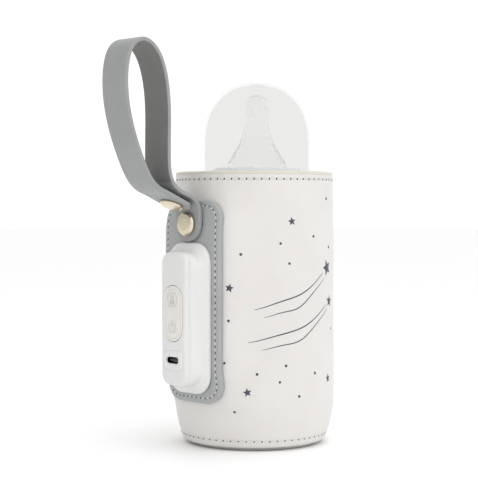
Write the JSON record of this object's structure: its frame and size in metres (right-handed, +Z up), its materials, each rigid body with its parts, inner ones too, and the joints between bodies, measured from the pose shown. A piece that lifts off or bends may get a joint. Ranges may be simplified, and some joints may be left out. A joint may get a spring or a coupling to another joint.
{
  "type": "portable bottle warmer",
  "caption": "Padded heated sleeve that keeps a feeding bottle warm, with a USB-C control box, a snap-fastened carrying strap and a domed bottle inside.",
  "frame": {"origin": "centre of the base on the sleeve's axis, on the surface it stands on", "axes": "+Z up along the sleeve's axis, -Y out of the control box, +X to the right seen from the control box's front"},
  "size_m": [0.0876, 0.1433, 0.214],
  "materials": {
    "cream_leather": "fine-grained polyurethane leather, satin",
    "cream_binding": "folded polyurethane leather edge, satin",
    "grey_leather": "smooth grey polyurethane leather, satin",
    "base_leather": "polyurethane leather, matt",
    "foam": "soft foam, matt",
    "lining_cloth": "woven polyester lining, matt",
    "heater_foil": "polyimide film, satin",
    "stiff_board": "stiff polypropylene board, matt",
    "white_plastic": "moulded ABS, semi-gloss",
    "pad_silicone": "warm white silicone, satin",
    "black_rubber": "black rubber, matt",
    "black_plastic": "black moulded plastic, matt",
    "circuit_green": "glass-epoxy board with solder mask, satin",
    "steel": "plain steel, satin",
    "champagne_metal": "pale gold plating, polished",
    "clear_plastic": "clear moulded polypropylene, gloss",
    "bottle_plastic": "clear bottle plastic, gloss",
    "collar_plastic": "white moulded polypropylene, semi-gloss",
    "teat_silicone": "clear soft silicone, satin"
  },
  "bodies": {
    "sleeve": {"outer_sleeve": "cream_leather", "top_binding": "cream_binding", "base_panel": "base_leather", "insulation_foam": "foam", "heater_film": "heater_foil", "inner_lining": "lining_cloth", "base_pad": "foam", "floor_lining": "lining_cloth", "temperature_sensor": "black_plastic", "heater_leads": "black_rubber", "lead_grommet": "black_rubber", "stiffener_board": "stiff_board", "patch_core": "grey_leather", "patch_face": "grey_leather", "case_front": "white_plastic", "case_back": "white_plastic", "case_screws": "steel", "circuit_board": "circuit_green", "board_parts": "black_plastic", "tact_switches": "black_plastic", "usb_shell": "steel", "usb_tongue": "black_plastic", "button_gasket": "pad_silicone", "rivet_post": "steel", "rivet_washer": "steel", "rivet_cap": "champagne_metal"},
    "mode_button": {"mode_button": "pad_silicone"},
    "power_button": {"power_button": "pad_silicone"},
    "strap_tab": {"strap_tab": "grey_leather"},
    "strap_loop": {"strap_loop": "grey_leather", "snap_stud": "champagne_metal", "snap_eyelet": "champagne_metal"},
    "strap_flap": {"strap_flap": "grey_leather", "snap_cap": "champagne_metal", "snap_socket": "champagne_metal"},
    "bottle": {"bottle_body": "bottle_plastic"},
    "collar": {"bottle_collar": "collar_plastic", "teat": "teat_silicone"},
    "dome": {"dome_cap": "clear_plastic"}
  },
  "joints": [
    {"name": "mode_press", "type": "slide", "parent": "sleeve", "child": "mode_button", "axis": [0, 1, 0], "range_m": [0, 0.0006], "stiffness_N_per_m": 1200},
    {"name": "power_press", "type": "slide", "parent": "sleeve", "child": "power_button", "axis": [0, 1, 0], "range_m": [0, 0.0006], "stiffness_N_per_m": 1200},
    {"name": "strap_swivel", "type": "hinge", "parent": "sleeve", "child": "strap_tab", "pos_m": [0, -0.0486, 0.1196], "axis": [0, 1, 0], "range_deg": [-40, 40]},
    {"name": "strap_fold", "type": "hinge", "parent": "strap_tab", "child": "strap_loop", "pos_m": [0, -0.0486, 0.1253], "axis": [1, 0, 0], "range_deg": [-8, 34], "stiffness_Nm_per_rad": 0.12, "springref_deg": -2.29},
    {"name": "snap_open", "type": "hinge", "parent": "strap_loop", "child": "strap_flap", "pos_m": [0, -0.07617, 0.1379], "axis": [-1, 0, 0], "range_deg": [0, 45], "stiffness_Nm_per_rad": 0.03},
    {"name": "bottle_lift", "type": "slide", "parent": "sleeve", "child": "bottle", "axis": [0, 0, 1], "range_m": [0, 0.15]},
    {"name": "collar_lift", "type": "slide", "parent": "bottle", "child": "collar", "axis": [0, 0, 1], "range_m": [0, 0.02]},
    {"name": "dome_lift", "type": "slide", "parent": "collar", "child": "dome", "axis": [0, 0, 1], "range_m": [0, 0.055]}
  ]
}
